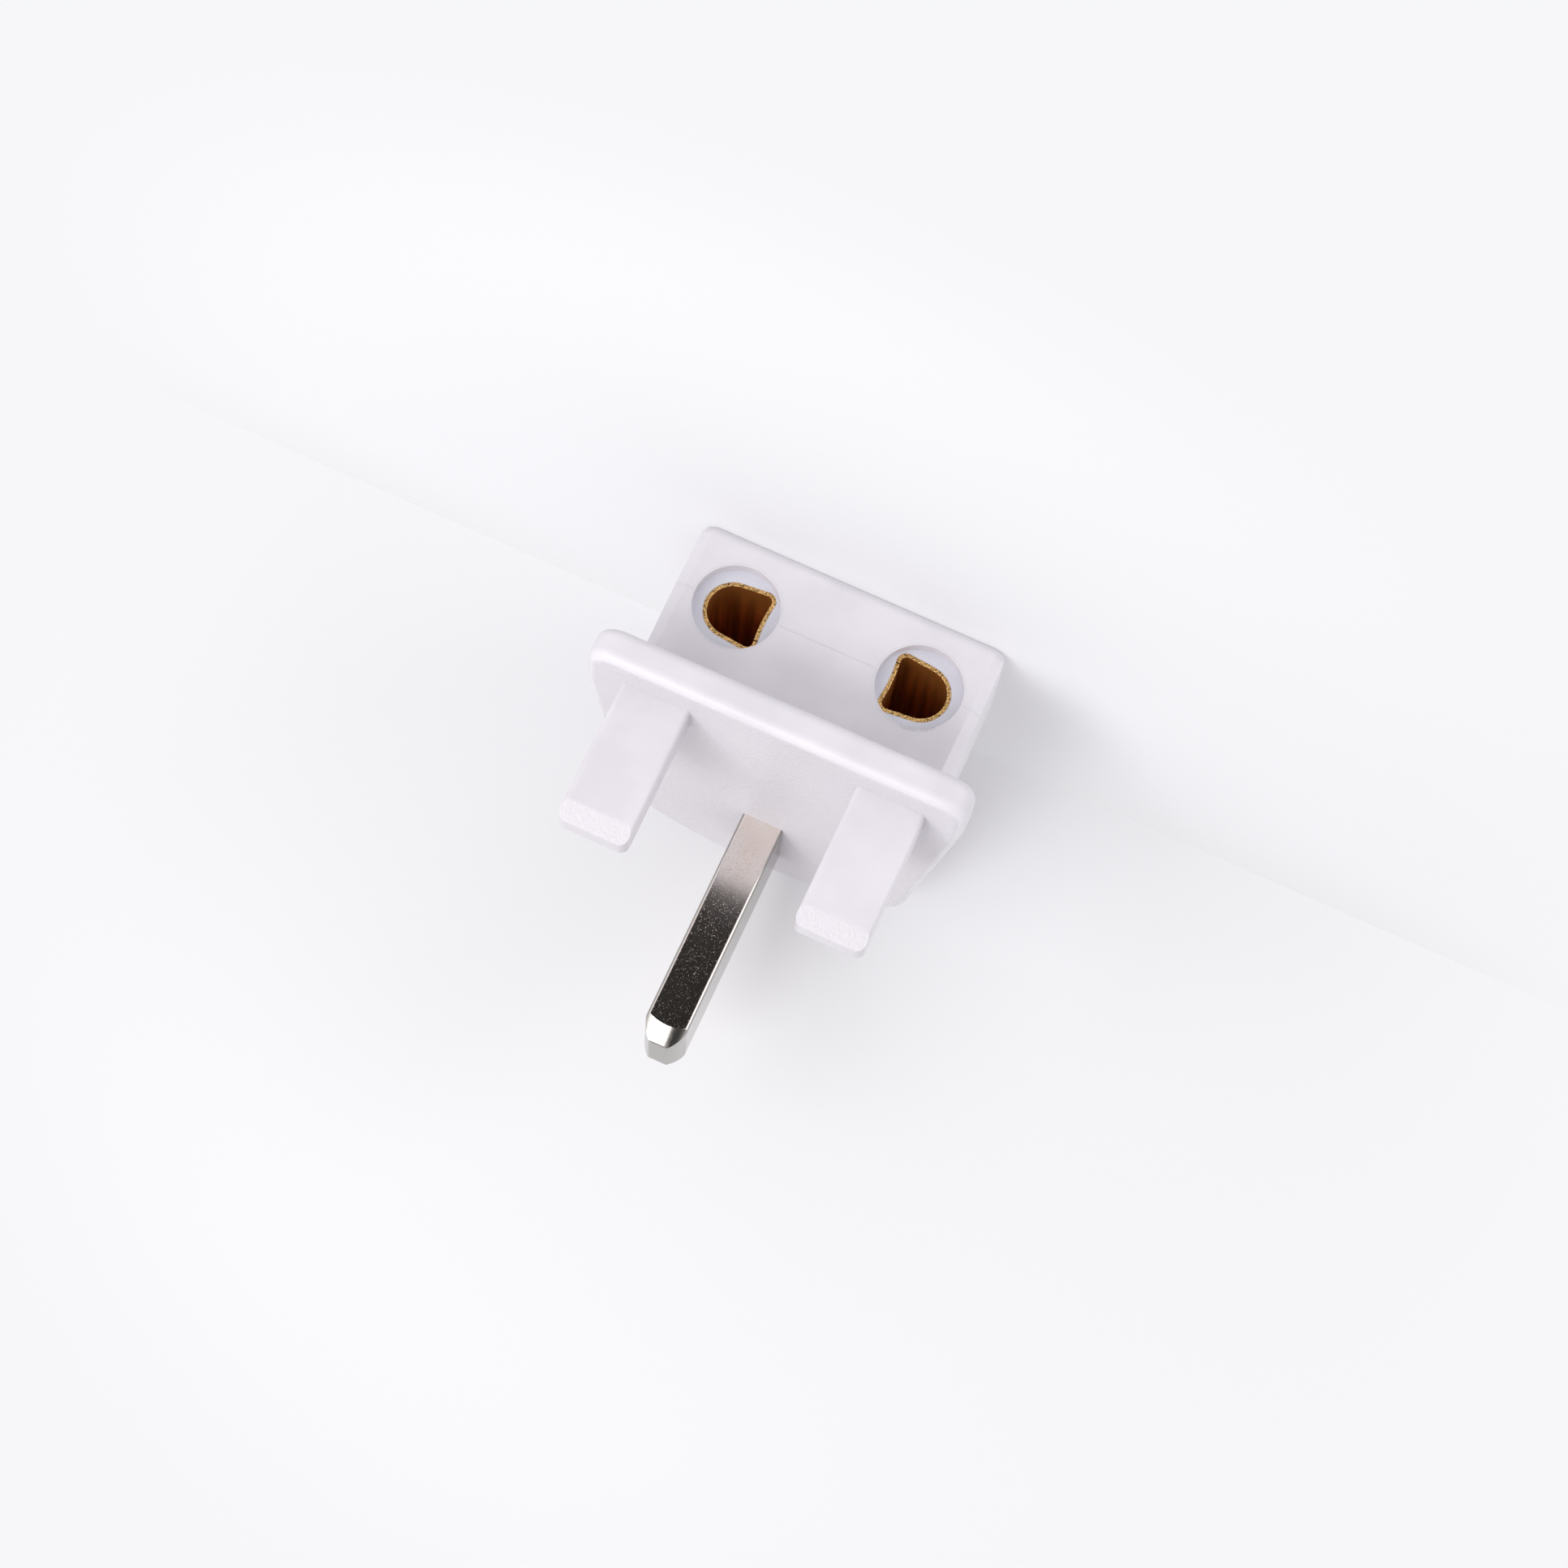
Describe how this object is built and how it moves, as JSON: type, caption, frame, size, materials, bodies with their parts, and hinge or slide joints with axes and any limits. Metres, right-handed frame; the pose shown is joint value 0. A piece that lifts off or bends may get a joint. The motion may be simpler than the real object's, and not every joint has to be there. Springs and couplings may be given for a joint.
{
  "type": "grounding plug adapter",
  "caption": "Small plug-in adapter: a moulded block with two recessed brass sockets in its front, behind a flange with an earth pin and two short plastic legs.",
  "frame": {"origin": "middle of the flange's outline, on the flat back face that the adapter stands on", "axes": "+Z from the back face along the earth pin and the legs to their tips; the face with the two sockets looks to -Y, on the legs' side; X runs from leg to leg"},
  "size_m": [0.0356, 0.0373, 0.0414],
  "materials": {
    "shell_plastic": "white moulded plastic with a soft sheen",
    "core_plastic": "bluish white moulded plastic",
    "nickel": "nickel plate, polished on the sides and slightly grained on the narrow faces",
    "brass": "rolled brass strip with bright sheared edges"
  },
  "bodies": {
    "root": {"housing": "shell_plastic", "contact_carrier": "core_plastic", "earth_pin": "nickel", "bus_strap": "brass", "contact_sleeve_left": "brass", "contact_sleeve_right": "brass"}
  },
  "joints": []
}
